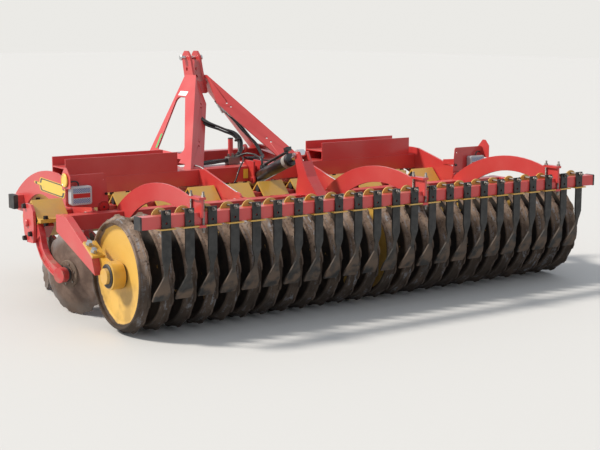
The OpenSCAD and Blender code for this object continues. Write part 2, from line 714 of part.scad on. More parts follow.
// The lever is a channel: two plates round the torque tube with a web along their rear edge.
lever_t = 12;
lever_in = 24;
lever_web = 10;
lever_foot = tube_half + 12;
lever_foot_low = 10;
lever_foot_high = tube_half + 15;
lever_pin_at = [lever_pin_y, lever_pin_z];
lever_top = [lever_pin_at + [16, 15], lever_pin_at + [-36, 22]];
lever_neck = lever_pin_at + [-30, -120];
lever_back = [[torque_y - 65, hinge_z + 147], [torque_y - 170, hinge_z + 43],
  [torque_y - 170, hinge_z + 15]];
module lever_outline() difference() {
  polygon(concat([[torque_y - lever_foot, hinge_z - lever_foot_low]],
    [for (k = [2 : -1 : 0]) lever_back[k]],
    corner(lever_back[0], lever_top[1], lever_top[0], 10, 5),
    corner(lever_top[1], lever_top[0], lever_neck, 10, 5),
    [lever_neck, [torque_y + lever_foot, hinge_z + lever_foot_high],
      [torque_y + lever_foot, hinge_z - lever_foot_low]]));
  torque_hole();
  translate(lever_pin_at) circle(r = lever_pin / 2 + pin_gap);
}
lever_pin = 25;
web_top = lever_back[0] + (lever_top[1] - lever_back[0]) * 0.6;
module packer_lever() color(red) placed() {
  for (x = [-lever_in - lever_t, lever_in]) side_cut(cyl_x + x, lever_t) lever_outline();
  side_cut(cyl_x - lever_in, 2 * lever_in) polygon([lever_back[2], lever_back[1],
    lever_back[0], web_top, web_top + [lever_web, 0], lever_back[0] + [lever_web, -2],
    lever_back[1] + [lever_web, -4], lever_back[2] + [lever_web, 0]]);
}

scraper_wall = 6;
beam_cap_t = 10;
module scraper_beam() color(red) placed()
  square_tube(-tube_end, tube_end, -scraper_y, scraper_z, scraper_beam_side, scraper_wall);
module beam_caps() color(dark) placed() both_sides() side_cut(tube_end, beam_cap_t)
  translate([-scraper_y, scraper_z]) square(scraper_beam_side + 2 * cap_lip, center = true);

// Scraper strip on the beam's rear face, curved forward into a blade between two rings.
strip_up = 57;
strip_down = 150;
blade_down = 393;
blade_mid = 272;
blade_bow = 17;
blade_reach = 76;
module scraper_side() polygon(concat([[0, strip_up]],
  arc_points([0, -strip_down], [blade_bow, -blade_mid], [blade_reach, 4 - blade_down], 10),
  arc_points([blade_reach - scraper_t + 1, -blade_down], [blade_bow - scraper_t, -blade_mid - 3],
    [-scraper_t, -strip_down], 10),
  [[-scraper_t, strip_up]]));
bolt_up = scraper_half + 15;
scraper_bolt = 12;
neck_w = 18;
neck_from = 225;
neck_to = 265;
taper_from = 175;
blade_from = 350;
low_hole = 6;
function half_face(s) = [[s * scraper_w / 2, strip_up], [s * scraper_w / 2, -taper_from],
  [s * neck_w / 2, -neck_from], [s * neck_w / 2, -neck_to], [s * blade_w / 2, -blade_from],
  [s * blade_w / 2, -blade_down - 10]];
module scraper_face() difference() {
  polygon(concat(half_face(1), [for (k = [5 : -1 : 0]) half_face(-1)[k]]));
  for (z = [bolt_up, -low_hole]) translate([0, z]) circle(r = scraper_bolt / 2 + pin_gap);
}
module scrapers() color(dark) placed() for (j = [1 : ring_count - 1])
  translate([ring_x0 + cut_pitch * (j - 0.5), -scraper_back, scraper_z]) intersection() {
    side_cut(-blade_w, 2 * blade_w) scraper_side();
    translate([0, 120, 0]) rotate([90, 0, 0]) linear_extrude(240) scraper_face();
  }

// A yellow clip holds each scraper: a slotted plate under the beam with a leg up its front.
clip_t = 6;
clip_side_gap = 0.5;
clip_w = cut_pitch - clamp_pad_w - 2 * clip_side_gap;
clip_slot = 1;
clip_shoulder = scraper_half - 12;
module clip_leg() difference() {
  polygon(concat([[clip_w / 2, -scraper_half - clip_t]],
    arc_points([clip_w / 2, clip_shoulder], [0, strip_up + 5], [-clip_w / 2, clip_shoulder],
      12), [[-clip_w / 2, -scraper_half - clip_t]]));
  translate([0, bolt_up]) circle(r = scraper_bolt / 2 + pin_gap);
}
module clip_foot() difference() {
  translate([-clip_w / 2, -scraper_half - scraper_t - clip_over])
    square([clip_w, scraper_beam_side + scraper_t + clip_over + clip_t]);
  translate([-scraper_w / 2 - clip_slot, -scraper_half - scraper_t - clip_slot])
    square([scraper_w + 2 * clip_slot, scraper_t + clip_slot]);
}
module scraper_clip() {
  translate([0, scraper_half + clip_t, 0]) rotate([90, 0, 0]) linear_extrude(clip_t) clip_leg();
  translate([0, 0, -scraper_half - clip_t]) linear_extrude(clip_t) clip_foot();
}
module scraper_clips() color(yellow) placed() for (j = [1 : ring_count - 1])
  translate([ring_x0 + cut_pitch * (j - 0.5), -scraper_y, scraper_z]) scraper_clip();

scraper_bolt_len = scraper_beam_side + scraper_t + clip_t;
bolt_tail = 26;
bolt_head = 8;
module scraper_bolts() color(steel) placed() for (j = [1 : ring_count - 1])
  translate([ring_x0 + cut_pitch * (j - 0.5), scraper_half + clip_t - scraper_y,
    scraper_z + bolt_up]) rotate([90, 0, 0]) {
      translate([0, 0, -bolt_head]) cylinder(d = 1.75 * scraper_bolt, h = bolt_head, $fn = 6);
      cylinder(d = scraper_bolt, h = scraper_bolt_len + bolt_tail);
      translate([0, 0, scraper_bolt_len]) hex_nut(scraper_bolt);
    }

// The roller's stubs turn in yellow housings whose flange lies on the side arm's foot. The
// left one reaches into the hollow side of the first ring.
house_t = 30;
house_left_t = 66;
house_r = 72;
house_plate = 14;
cap_dia = 80;
cap_len = 22;
stub_dia = 50;
stub_out = 8;
side_slope = atan2(side_bend[1] - side_heel[1], side_bend[0] - side_heel[0]);
side_dir = [cos(side_slope), sin(side_slope)];
side_up = [-sin(side_slope), cos(side_slope)];
house_reach = 115;
module housing(t) {
  difference() {
    union() {
      cross_bar(tube_end - t, tube_end, 0, ring_r, 2 * house_r);
      side_cut(tube_end - house_t, house_t) polygon([[0, ring_r - house_r + 12], side_toe,
        side_toe + 0.7 * house_reach * side_dir, side_heel + house_reach * side_dir, side_heel,
        [20, ring_r + house_r - 3]]);
    }
    cross_bar(tube_end - t - 5, tube_end + 5, 0, ring_r, stub_dia + 2 * pin_gap);
  }
  side_cut(tube_end - house_t, house_t + side_arm_w) polygon([side_heel - 8 * side_dir + 0.2 * side_up,
    side_heel + house_reach * side_dir + 0.2 * side_up,
    side_heel + house_reach * side_dir + house_plate * side_up,
    side_heel - 8 * side_dir + house_plate * side_up]);
  difference() {
    cross_bar(tube_end, tube_end + cap_len, 0, ring_r, cap_dia);
    cross_bar(tube_end - 5, tube_end + stub_out + 2, 0, ring_r, stub_dia + 2 * pin_gap);
  }
}
module bearing_housings() color(yellow) placed() {
  housing(house_t);
  mirror([1, 0, 0]) housing(house_left_t);
}

// Packer roller

shaft_gap = 5;
shaft_wall = 10;
shaft_plug = 30;
shaft_left = tube_end - house_left_t - shaft_gap;
shaft_right = tube_end - house_t - shaft_gap;
module packer_shaft() color(dark) placed() {
  difference() {
    cross_bar(-shaft_left, shaft_right, 0, ring_r, shaft_dia);
    cross_bar(shaft_plug - shaft_left, shaft_right - shaft_plug, 0, ring_r,
      shaft_dia - 2 * shaft_wall);
  }
  cross_bar(-tube_end - stub_out, -shaft_left, 0, ring_r, stub_dia);
  cross_bar(shaft_right, tube_end + stub_out, 0, ring_r, stub_dia);
}

flange_in = 16;
flange_t = 10;
module ring_profile() polygon([[shaft_dia / 2 + pin_gap, 16], [shaft_dia / 2 + pin_gap, 26],
  [shaft_dia / 2 + 23, 26], [150, 22], [235, 13], [bead_r - 11, 6], [bead_r - 3, 12],
  [bead_r + 5, 26], [ring_r - 8, 26], [ring_r - 10, 14], [bead_r + 7, 2], [bead_r, -10],
  [bead_r, -22], [bead_r - 4, -26], [bead_r - 11, -26], [bead_r - 14, -22], [bead_r - 13, -8],
  [235, 4], [150, 13], [shaft_dia / 2 + 23, 17]]);
module ring_lug_outline() polygon([for (k = [0 : ring_lugs - 1]) for (p = [[0, 0], [5, 0],
  [9, 13], [15, 15], [20, 6]]) let (a = k * 360 / ring_lugs + p[0], r = ring_r - p[1])
  [r * cos(a), r * sin(a)]]);
module packer_ring() rotate([0, 90, 0]) {
  rotate_extrude($fn = 96) ring_profile();
  translate([0, 0, flange_in]) linear_extrude(flange_t) difference() {
    ring_lug_outline();
    circle(r = ring_r - 18, $fn = 96);
  }
}
module packer_rings() color(rust) placed() for (i = [0 : ring_count - 1])
  translate([ring_x0 + cut_pitch * i, 0, ring_r]) packer_ring();

// Depth cylinder

cyl_front_y = beam_rear - cyl_front_gap;
cyl_vec = [lever_pin_y - cyl_front_y, lever_pin_z - cyl_front_z];
cyl_len = norm(cyl_vec);
cyl_ang = atan2(cyl_vec[1], cyl_vec[0]);
eye_r = 30;
eye_w = 2 * lever_in - 6;
eye_slack = 2;
barrel_from = 60;
barrel_len = 360;
piston_t = 30;
head_len = 30;
piston_gap = 30;
rod_from = barrel_from + barrel_len - head_len - piston_gap - piston_t;
bore_dia = barrel_dia - 14;
front_pin = 26;
front_pin_stick = 10;
module along_cylinder() placed() translate([cyl_x, cyl_front_y, cyl_front_z])
  rotate([cyl_ang, 0, 0]) children();
module tube_along(y, h, d) translate([0, y, 0]) rotate([-90, 0, 0]) cylinder(d = d, h = h);
module cylinder_barrel() color(dark) along_cylinder() {
  difference() {
    tube_along(barrel_from, barrel_len, barrel_dia);
    tube_along(barrel_from + head_len, barrel_len - 2 * head_len, bore_dia);
    tube_along(barrel_from + head_len, barrel_len, rod_dia + 2 * pin_gap);
  }
  difference() {
    union() {
      translate([-eye_w / 2, 0, 0]) cross_bar(0, eye_w, 0, 0, 2 * eye_r);
      translate([-eye_w / 2, 0, -eye_r]) cube([eye_w, barrel_from, 2 * eye_r]);
    }
    cross_bar(-eye_w, eye_w, 0, 0, front_pin + 2 * pin_gap);
  }
}
module cylinder_rod() color(steel) along_cylinder() {
  tube_along(rod_from, piston_t, bore_dia - 2 * pin_gap);
  tube_along(rod_from, cyl_len - rod_from - eye_r + 10, rod_dia);
  difference() {
    cross_bar(-eye_w / 2, eye_w / 2, cyl_len, 0, 2 * eye_r);
    cross_bar(-eye_w, eye_w, cyl_len, 0, lever_pin + 2 * eye_slack);
  }
}
bracket_r = 30;
bracket_rise = 35;
bracket_toe = [72, 36];
module bracket_outline() {
  translate([cyl_front_y, cyl_front_z]) circle(r = bracket_r);
  polygon([[cyl_front_y, cyl_front_z - bracket_r], [cyl_front_y - 21, cyl_front_z],
    [cyl_front_y - 21, beam_top + bracket_rise], [beam_rear + bracket_toe[1], beam_top + bracket_rise],
    [beam_rear + bracket_toe[0], beam_top], [beam_rear, beam_top], [beam_rear, beam_low_z + 4]]);
}
module cylinder_bracket() color(red) placed() {
  for (x = [-lever_in - lever_t, lever_in]) side_cut(cyl_x + x, lever_t) bracket_outline();
  cross_bar(cyl_x - lever_in - lever_t - front_pin_stick,
    cyl_x + lever_in + lever_t + front_pin_stick, cyl_front_y, cyl_front_z, front_pin);
}

main_beam();
ballast_trays();
headstock_frames();
top_link_ears();
linkage_pins();
front_cross_beam();
lower_link_plates();
side_plates();
hinge_plates();
disc_tubes();
tube_caps();
disc_clamps();
rubber_cords();
disc_arms();
outer_brackets();
light_boards();
lamps();
reflectors();
cylinder_bracket();
torque_tube();
hinge_lugs();
side_arms();
arch_arms();
arch_clamps();
packer_lever();
packer_pins();
scraper_beam();
beam_caps();
scrapers();
scraper_clips();
scraper_bolts();
bearing_housings();
packer_shaft();
packer_rings();
cylinder_barrel();
cylinder_rod();
disc_rear_01();
disc_rear_02();
disc_rear_03();
disc_rear_04();
disc_rear_05();
disc_rear_06();
disc_rear_07();
disc_rear_08();
disc_rear_09();
disc_rear_10();
disc_rear_11();
disc_rear_12();
disc_front_01();
disc_front_02();
disc_front_03();
disc_front_04();
disc_front_05();
disc_front_06();
disc_front_07();
disc_front_08();
disc_front_09();
disc_front_10();
disc_front_11();
disc_front_12();
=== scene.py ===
import math

import bmesh
import bpy
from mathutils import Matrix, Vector


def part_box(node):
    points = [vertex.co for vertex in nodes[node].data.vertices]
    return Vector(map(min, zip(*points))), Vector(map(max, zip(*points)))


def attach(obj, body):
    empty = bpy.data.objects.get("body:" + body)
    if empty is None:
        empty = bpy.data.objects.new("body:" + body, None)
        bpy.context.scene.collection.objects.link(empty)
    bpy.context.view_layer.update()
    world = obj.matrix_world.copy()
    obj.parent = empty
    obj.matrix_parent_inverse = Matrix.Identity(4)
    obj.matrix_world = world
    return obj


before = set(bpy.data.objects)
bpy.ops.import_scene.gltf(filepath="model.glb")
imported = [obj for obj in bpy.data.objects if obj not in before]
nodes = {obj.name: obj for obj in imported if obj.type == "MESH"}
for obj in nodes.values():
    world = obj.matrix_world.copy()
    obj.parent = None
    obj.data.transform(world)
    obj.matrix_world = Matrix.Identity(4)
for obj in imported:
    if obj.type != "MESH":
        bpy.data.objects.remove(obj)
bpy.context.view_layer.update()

# Camera. It stands behind the left rear corner of the machine, a little above its headstock,
# with a short telephoto lens, and looks slightly down on both rows and the packer.
shaft_low, shaft_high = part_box("packer_shaft")
axis_y = (shaft_low[1] + shaft_high[1]) / 2


def at(x, y, z):
    """A point given in millimetres: right, ahead of the packer's axis, and up."""
    return Vector((x / 1000, y / 1000 + axis_y, z / 1000))


def add(thing):
    """Puts an object into the scene and gives it back."""
    bpy.context.scene.collection.objects.link(thing)
    return thing


pan, tilt = math.radians(34.15), math.radians(9.1)
look = Vector((math.sin(pan) * math.cos(tilt), math.cos(pan) * math.cos(tilt), -math.sin(tilt)))
camera = add(bpy.data.objects.new("camera", bpy.data.cameras.new("camera")))
camera.location = at(-4102.3, -5524.3, 1521.5)
camera.rotation_euler = look.to_track_quat("-Z", "Y").to_euler()
camera.data.lens = 74.9
camera.data.sensor_width = 36
camera.data.clip_start = 0.1
camera.data.clip_end = 200
bpy.context.scene.camera = camera

# Floor and light. A pale plain floor stands for the yard. A hazy sun shines from the left and
# ahead, an even pale surround fills the shade, and the camera sees a backdrop like the floor.
bpy.context.scene.view_settings.view_transform = "Standard"
floor_mesh = bpy.data.meshes.new("floor")
floor_mesh.from_pydata([(-40, -40, 0), (40, -40, 0), (40, 60, 0), (-40, 60, 0)], [], [(0, 1, 2, 3)])
floor = add(bpy.data.objects.new("floor", floor_mesh))
floor_paint = bpy.data.materials.new("pale_floor")
floor_paint.use_nodes = True
concrete = floor_paint.node_tree.nodes["Principled BSDF"]
concrete.inputs["Base Color"].default_value = (0.54, 0.53, 0.51, 1)
concrete.inputs["Roughness"].default_value = 0.9
floor_mesh.materials.append(floor_paint)

surround = bpy.data.worlds.new("surround")
bpy.context.scene.world = surround
surround.use_nodes = True
sky = surround.node_tree
fill = sky.nodes["Background"]
fill.inputs["Color"].default_value = (0.86, 0.92, 1.0, 1)
fill.inputs["Strength"].default_value = 0.75
backdrop = sky.nodes.new("ShaderNodeBackground")
backdrop.inputs["Color"].default_value = (0.83, 0.82, 0.79, 1)
seen = sky.nodes.new("ShaderNodeLightPath")
either = sky.nodes.new("ShaderNodeMixShader")
sky.links.new(seen.outputs["Is Camera Ray"], either.inputs["Fac"])
sky.links.new(fill.outputs[0], either.inputs[1])
sky.links.new(backdrop.outputs[0], either.inputs[2])
sky.links.new(either.outputs[0], sky.nodes["World Output"].inputs[0])

sun = add(bpy.data.objects.new("sun_side", bpy.data.lights.new("sun_side", "SUN")))
sun.data.energy = 4.1
sun.data.angle = math.radians(9)
sun.data.color = (1.0, 0.95, 0.88)
sun_place, sun_aim = Vector((-9.0, 5.0, 10.5)), Vector((0, -0.3, 0.4))
sun.rotation_euler = (sun_aim - sun_place).to_track_quat("-Z", "Y").to_euler()

# Red paint. The welded frame is powder coated in one glossy red, which has faded a little,
# with dust lying on what faces up and soil splashed on what hangs low.
class Shade:
    """A colour or a number in a material's nodes, with arithmetic on it."""

    def __init__(self, tree, socket):
        self.tree, self.socket = tree, socket

    def join(self, kind, **settings):
        node = self.tree.nodes.new(kind)
        for name, value in settings.items():
            setattr(node, name, value)
        return node

    def feed(self, socket, value):
        if isinstance(value, Shade):
            self.tree.links.new(value.socket, socket)
        elif hasattr(value, "__len__") and len(value) == 3 and socket.type == "RGBA":
            socket.default_value = (*value, 1)
        else:
            socket.default_value = value

    def math(self, operation, other=0.0, turned=False):
        node = self.join("ShaderNodeMath", operation=operation)
        first, second = (other, self) if turned else (self, other)
        self.feed(node.inputs[0], first)
        self.feed(node.inputs[1], second)
        return Shade(self.tree, node.outputs[0])

    def __add__(self, other):
        return self.math("ADD", other)

    def __sub__(self, other):
        return self.math("SUBTRACT", other)

    def __rsub__(self, other):
        return self.math("SUBTRACT", other, turned=True)

    def __mul__(self, other):
        return self.math("MULTIPLY", other)

    def __abs__(self):
        return self.math("ABSOLUTE")

    def __or__(self, other):
        return self.math("MAXIMUM", other)

    __radd__, __rmul__ = __add__, __mul__

    def between(self, low, above_painted_shade):
        """0 below low and 1 above high, with a smooth step between them."""
        node = self.join("ShaderNodeMapRange", interpolation_type="SMOOTHSTEP")
        self.feed(node.inputs["Value"], self)
        node.inputs["From Min"].default_value = low
        node.inputs["From Max"].default_value = above_painted_shade
        return Shade(self.tree, node.outputs["Result"])

    def blend(self, first, second):
        """The first colour where this is 0 and the second where it is 1."""
        node = self.join("ShaderNodeMix", data_type="RGBA")
        self.feed(node.inputs[0], self)
        self.feed(node.inputs[6], first)
        self.feed(node.inputs[7], second)
        return Shade(self.tree, node.outputs[2])


class Finish:
    """A new material whose pattern is laid out in the object's own coordinates."""

    def __init__(self, name):
        self.material = bpy.data.materials.new(name)
        self.material.use_nodes = True
        self.tree = self.material.node_tree
        self.shader = self.tree.nodes["Principled BSDF"]
        place = self.tree.nodes.new("ShaderNodeTexCoord")
        self.place = Shade(self.tree, place.outputs["Object"])
        split = self.tree.nodes.new("ShaderNodeSeparateXYZ")
        self.tree.links.new(place.outputs["Object"], split.inputs[0])
        self.x, self.y, self.z = (Shade(self.tree, split.outputs[k]) for k in range(3))

    def noise(self, scale, detail=4.0, stretch=(1, 1, 1), rough=0.55):
        shift = self.tree.nodes.new("ShaderNodeMapping")
        self.tree.links.new(self.place.socket, shift.inputs["Vector"])
        shift.inputs["Scale"].default_value = stretch
        node = self.tree.nodes.new("ShaderNodeTexNoise")
        self.tree.links.new(shift.outputs[0], node.inputs["Vector"])
        node.inputs["Scale"].default_value = scale
        node.inputs["Detail"].default_value = detail
        node.inputs["Roughness"].default_value = rough
        return Shade(self.tree, node.outputs[0])

    def facing_up(self):
        """1 where the surface faces straight up and 0 where it stands upright."""
        shape = self.tree.nodes.new("ShaderNodeNewGeometry")
        split = self.tree.nodes.new("ShaderNodeSeparateXYZ")
        self.tree.links.new(shape.outputs["Normal"], split.inputs[0])
        return Shade(self.tree, split.outputs[2])

    def cover(self, colour, roughness, metal=0.0, coat=0.0, bump=None, depth=0.001):
        """Sets the surface; the bump is depth metres deep. Gives the material back."""
        for name, value in (("Base Color", colour), ("Roughness", roughness), ("Metallic", metal)):
            self.place.feed(self.shader.inputs[name], value)
        self.shader.inputs["Coat Weight"].default_value = coat
        self.shader.inputs["Coat Roughness"].default_value = 0.12
        if bump is not None:
            node = self.tree.nodes.new("ShaderNodeBump")
            node.inputs["Strength"].default_value = 0.6
            node.inputs["Distance"].default_value = depth
            self.tree.links.new(bump.socket, node.inputs["Height"])
            self.tree.links.new(node.outputs[0], self.shader.inputs["Normal"])
        return self.material


dust = (0.30, 0.22, 0.16)


def painted(name, colour, faded, dusty=0.35, splash=0.5):
    """Gloss paint with fading, chips to dark primer, dust on top and soil below."""
    made = Finish(name)
    cloud = made.noise(2.2, 5)
    fine = made.noise(60, 3)
    grit = made.noise(260, 2)
    paint = cloud.between(0.35, 0.75).blend(colour, faded)
    lying = made.facing_up().between(0.5, 0.95) * made.noise(9, 6).between(0.42, 0.72) * dusty
    low = (1 - made.z.between(0.12, 0.55)) * made.noise(14, 5).between(0.45, 0.7) * splash
    chips = made.noise(34, 6, rough=0.7).between(0.715, 0.735) * 0.8
    paint = chips.blend(paint, (0.05, 0.03, 0.025))
    paint = (lying | low).blend(paint, dust)
    gloss = 0.27 + fine * 0.1 + (lying | low) * 0.5 + chips * 0.3
    return made.cover(paint, gloss, coat=0.25, bump=fine * 0.35 + grit * 0.1 - chips, depth=0.0006)


red_paint = painted("red_powder_coat", (0.52, 0.038, 0.036), (0.56, 0.075, 0.068))


def dress(node, material, edge=0.0, rounds=2):
    """Gives a CAD node its material, and its cut edges a small round, edge metres wide."""
    for place in nodes[node].material_slots:
        place.material = material
    if edge:
        seam = nodes[node].modifiers.new("joined_corners", "WELD")
        seam.merge_threshold = 0.00002
        bevel = nodes[node].modifiers.new("broken_edges", "BEVEL")
        bevel.width = edge
        bevel.segments = rounds
        bevel.limit_method = "ANGLE"
        bevel.angle_limit = math.radians(35)
        bevel.harden_normals = False


cut_edge = 0.0016
for node in (
    "main_beam", "ballast_trays", "headstock_frames", "top_link_ears", "front_cross_beam",
    "lower_link_plates", "side_plates", "hinge_plates", "disc_tubes", "outer_brackets",
    "light_boards", "cylinder_bracket", "torque_tube", "hinge_lugs", "side_arms", "arch_arms",
    "packer_lever", "scraper_beam",
):
    dress(node, red_paint, cut_edge)

# Cast disc arms. Each arm is one steel casting with a rounded I section, painted in the same
# red over its sandy skin, and soil clings low on it.
cast_red = painted("red_cast_arm", (0.48, 0.028, 0.03), (0.53, 0.055, 0.052), 0.2, 0.75)
dress("disc_arms", cast_red, 0.003)

# Yellow shells. The clamps round the rubber cords, the scraper clips and the packer's bearing
# housings are folded or cast steel in a dull warm yellow, powdered with dust.
yellow_paint = painted("yellow_paint", (0.60, 0.33, 0.045), (0.55, 0.36, 0.10), 0.55, 0.4)
dress("disc_clamps", yellow_paint, cut_edge)
dress("scraper_clips", yellow_paint)
dress("bearing_housings", yellow_paint, 0.002)

# Rubber, caps and black steel. The square ends of the tubes are closed with moulded plugs, the
# cords are plain rubber, and the cylinder's barrel is sprayed satin black.
def dull_black(name, shade, rough, coat=0.0):
    made = Finish(name)
    dirt = made.noise(18, 5).between(0.45, 0.75) * 0.5
    colour = dirt.blend((shade, shade, shade * 1.05), (0.10, 0.085, 0.07))
    rough = rough + made.noise(90) * 0.12
    return made.cover(colour, rough, coat=coat, bump=made.noise(220), depth=0.0003)


cord_rubber = dull_black("cord_rubber", 0.012, 0.62)
cap_plastic = dull_black("cap_plastic", 0.022, 0.5)
barrel_black = dull_black("barrel_black", 0.010, 0.25, coat=0.5)
dress("rubber_cords", cord_rubber)
dress("tube_caps", cap_plastic, 0.003)
dress("beam_caps", cap_plastic, 0.003)
dress("cylinder_barrel", barrel_black, 0.001)

# Bright steel. Linkage and hinge pins, bolts and nuts are zinc plated and have gone grey, some
# bolts are blackened instead, and the cylinder's rod is polished chrome.
def bright_steel(name, colour, rough, rusty=0.25):
    made = Finish(name)
    stain = made.noise(40, 6).between(0.5, 0.75) * rusty
    colour = stain.blend(colour, (0.22, 0.10, 0.045))
    rough = rough + stain * 0.4
    return made.cover(colour, rough, metal=1 - stain, bump=made.noise(300), depth=0.0002)


zinc = bright_steel("zinc_plate", (0.56, 0.56, 0.55), 0.34)
dark_bolt = bright_steel("blackened_bolt", (0.045, 0.045, 0.045), 0.42, 0.3)
rod_chrome = bright_steel("rod_chrome", (0.72, 0.72, 0.73), 0.12, 0.0)
dress("linkage_pins", zinc, 0.0015)
dress("packer_pins", zinc, 0.0015)
dress("cylinder_rod", rod_chrome)
old_steel = bright_steel("dull_old_steel", (0.24, 0.22, 0.20), 0.45, 0.55)
dress("scraper_bolts", old_steel)

# Arch clamps. Two flat pads, painted with the frame, are pulled together on the scraper beam by
# plain threaded rods whose nuts and ends have gone grey.
def pads_and_rods():
    made = Finish("painted_pads_on_rods")
    pad_depth, blur = 0.0126, 0.0005
    lower, upper = (
        made.z.between(foot - blur, foot + blur)
        * (1 - made.z.between(foot + pad_depth - blur, foot + pad_depth + blur))
        for foot in (0.5657, 0.6997)
    )
    pads = lower | upper
    grey = made.noise(45, 5).between(0.45, 0.7).blend((0.30, 0.29, 0.27), (0.17, 0.11, 0.07))
    threads = (made.z * 3600).math("SINE") * (1 - pads)
    return made.cover(pads.blend(grey, (0.53, 0.05, 0.045)), 0.42 - pads * 0.1,
                      metal=(1 - pads) * 0.75, bump=threads, depth=0.0004)


dress("arch_clamps", pads_and_rods())

# Packer rings. Each ring is pressed from plate, with a rounded rim and cast-in lugs. Soil has
# rubbed the paint from most of them; two dishes still show their yellow. The other dishes are
# painted near black and each ring's lower half is painted darker, as painted shade.
shaft_height = 300


def ring_steel():
    made = Finish("rolled_ring")
    up, out = made.z - shaft_height / 1000, made.y - axis_y
    radius = (up * up + out * out).math("POWER", 0.5)
    patch = made.noise(11, 6)
    speckle = made.noise(75, 5, rough=0.65)
    streak = made.noise(26, 5, stretch=(3.0, 0.6, 0.6))
    grit = made.noise(420, 3)
    above_painted_shade = made.z.between(0.20, 0.52)
    earth_and_shade = patch.between(0.35, 0.68).blend((0.115, 0.074, 0.050), (0.270, 0.190, 0.138))
    # Painted shade: the earth colour is blended towards near black down the lower half of each
    # ring.
    earth_and_shade = (above_painted_shade * 0.75 + 0.25).blend((0.030, 0.021, 0.015), earth_and_shade)
    earth_and_shade = speckle.between(0.54, 0.66).blend(earth_and_shade, (0.055, 0.036, 0.025))
    worn = radius.between(0.268, 0.278) * (1 - radius.between(0.288, 0.296))
    worn = worn * streak.between(0.50, 0.66) * (1 - speckle.between(0.45, 0.62))
    steel = worn.blend(earth_and_shade, (0.20, 0.205, 0.22))
    inside = 1 - (radius + (patch - 0.5) * 0.03).between(0.243, 0.249)
    kept = 1 - made.x.between(-1.39, -1.37)
    kept = kept | made.x.between(-0.02, -0.01) * (1 - made.x.between(0.105, 0.115))
    kept = kept | (made.noise(9, 4).between(0.66, 0.70) * 0.8)
    yellow = made.noise(5).blend((0.63, 0.35, 0.05), (0.70, 0.44, 0.11))
    # Painted shade: dishes that don't keep their yellow are coloured near black, standing in for
    # the shade in their hollows.
    dish_in_painted_shade = patch.between(0.4, 0.6).blend((0.014, 0.010, 0.008), (0.038, 0.026, 0.018))
    dish = kept.blend(dish_in_painted_shade, yellow)
    shown = inside.blend(steel, dish)
    mud = made.noise(7, 7).between(0.40, 0.62) * (1 - made.z.between(0.12, 0.46))
    caked = mud * (1 - inside * kept * 0.6) * 0.9
    shown = caked.blend(shown, (0.034, 0.023, 0.016))
    bare = worn * (1 - inside) * (1 - caked)
    rough = 0.92 - bare * 0.32 - inside * kept * 0.46
    lumps = made.noise(55, 6) + grit * 0.35
    return made.cover(shown, rough, metal=bare * 0.45, bump=lumps, depth=0.0010)


dress("packer_rings", ring_steel())
dress("packer_shaft", dull_black("shaft_paint", 0.03, 0.6))

# Scrapers. Flat bars of hard spring steel, bent and hammered wide at the foot, dark from the
# mill with mud dried along the edges of the blade.
def scraper_steel():
    made = Finish("scraper_bar")
    patch = made.noise(30, 6)
    skin = patch.between(0.3, 0.75).blend((0.020, 0.020, 0.019), (0.046, 0.044, 0.041))
    mud = (1 - made.z.between(0.25, 0.43)) * made.noise(16, 6).between(0.36, 0.60)
    colour = mud.blend(skin, (0.11, 0.075, 0.052))
    return made.cover(colour, 0.5 + mud * 0.35, metal=(1 - mud) * 0.3,
                      bump=patch + made.noise(160), depth=0.0008)


dress("scrapers", scraper_steel())

# Discs. Hollow discs of hardened steel with a scalloped edge, rusty brown outside and rubbed
# bright near the cutting edge where the soil runs over them.
soil = (0.075, 0.048, 0.032)
disc_yaw = math.radians(17)
disc_height, disc_pitch, discs_in_row = 225, 250, 12


def disc_steel(name, x, y, side):
    made = Finish(name)
    across, along, up = made.x - x, made.y - y, made.z - disc_height / 1000
    axial = across * math.cos(disc_yaw) * side + along * math.sin(disc_yaw)
    radius = (across * across + along * along + up * up - axial * axial).math("POWER", 0.5)
    patch = made.noise(13, 6)
    rust = patch.between(0.35, 0.7).blend((0.085, 0.048, 0.032), (0.17, 0.11, 0.08))
    rubbed = radius.between(0.150, 0.215) * made.noise(8, 4).between(0.38, 0.60) * 0.6
    colour = rubbed.blend(rust, (0.30, 0.29, 0.28))
    colour = ((1 - made.z.between(0.03, 0.14)) * 0.7).blend(colour, soil)
    return made.cover(colour, 0.72 - rubbed * 0.3, metal=rubbed * 0.7, bump=made.noise(90, 6),
                      depth=0.0012)


# Each row: its name, the first disc's place across and ahead, and the side its discs face.
disc_places = []
for row, first, ahead, side in (("rear", -1437.5, 530, 1), ("front", -1312.5, 1235, -1)):
    for k in range(discs_in_row):
        name = f"disc_{row}_{k + 1:02d}"
        middle = at(first + disc_pitch * k, ahead, disc_height)
        disc_places.append((name, middle, side))
        dress(name, disc_steel(f"steel_of_{name}", middle.x, middle.y, side))


